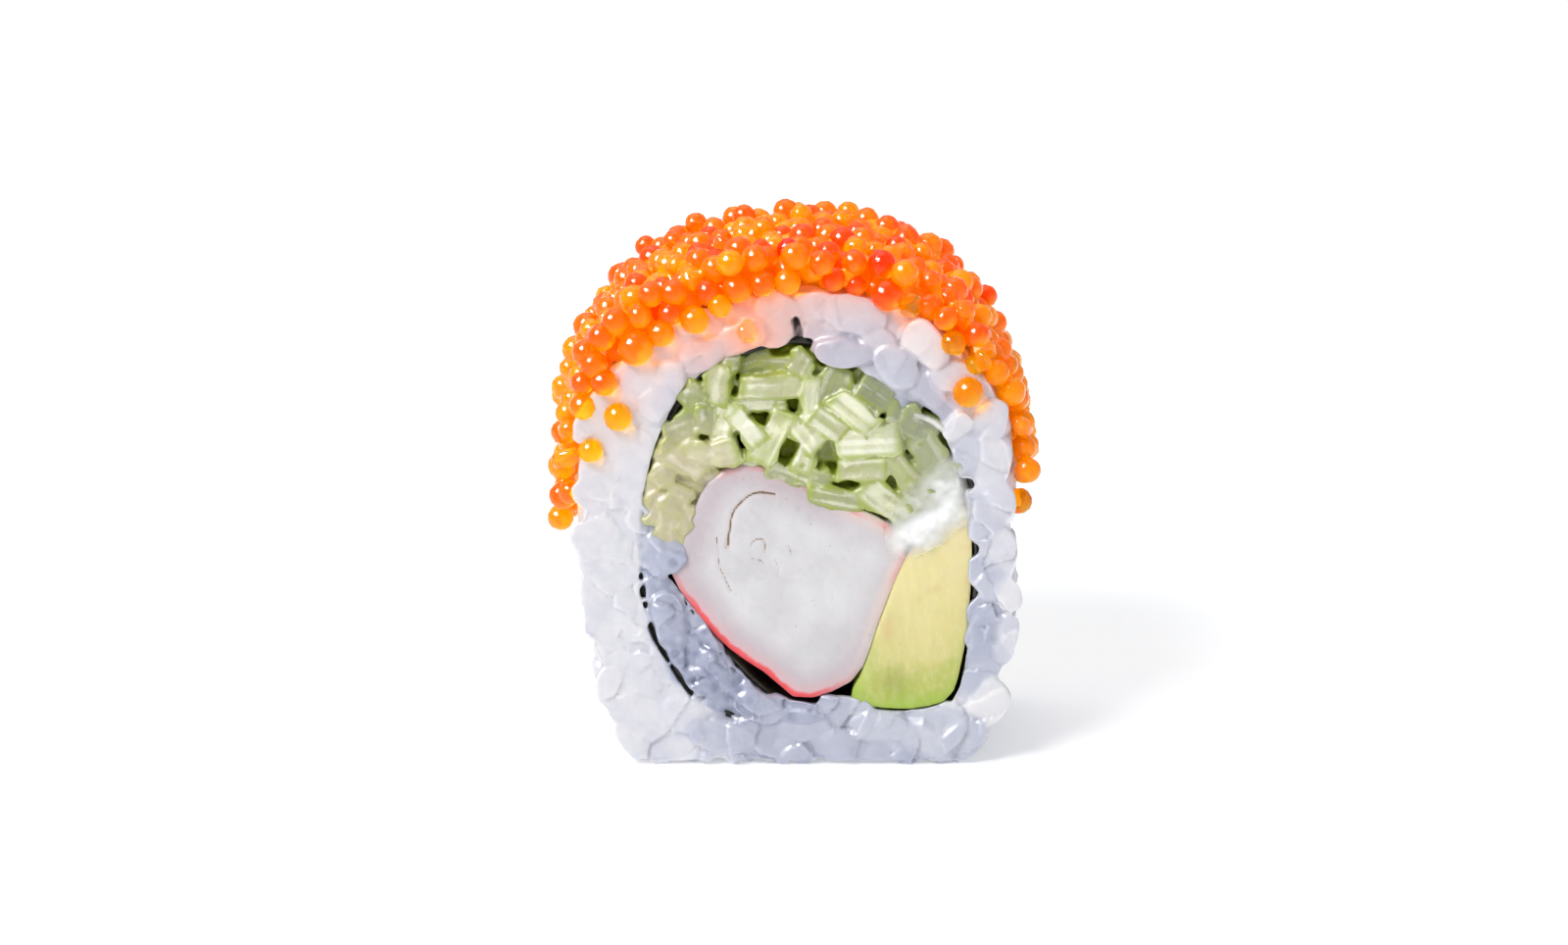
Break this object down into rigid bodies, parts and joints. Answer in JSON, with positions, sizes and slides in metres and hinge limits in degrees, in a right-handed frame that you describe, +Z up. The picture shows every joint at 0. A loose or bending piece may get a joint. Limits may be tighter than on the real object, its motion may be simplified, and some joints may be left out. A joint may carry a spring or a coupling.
{
  "type": "california roll",
  "caption": "Piece of inside-out sushi roll cut across, rice outside a seaweed spiral, with crab stick, cucumber and avocado inside and fish roe on its crown.",
  "frame": {"origin": "middle of the box round the part, on the flat underside of the rice", "axes": "+Z up, towards the roe; +Y along the roll, away from the shown cut face; +X to the right across the shown cut face"},
  "size_m": [0.044, 0.0248, 0.0469],
  "materials": {
    "rice": "moist, pearly, slightly see-through grains",
    "nori": "moist dark seaweed, slightly glossy",
    "crab_stick": "moist, smooth, with a pink-red skin at its edge",
    "avocado": "soft, creamy yellow turning green at its lower edge",
    "mayonnaise": "soft, glossy white",
    "cucumber": "wet, see-through pale green",
    "roe": "glossy, clear orange beads"
  },
  "bodies": {
    "root": {"rice": "rice", "nori": "nori", "crab_stick": "crab_stick", "avocado": "avocado", "mayonnaise": "mayonnaise", "cucumber": "cucumber", "roe": "roe"}
  },
  "joints": []
}
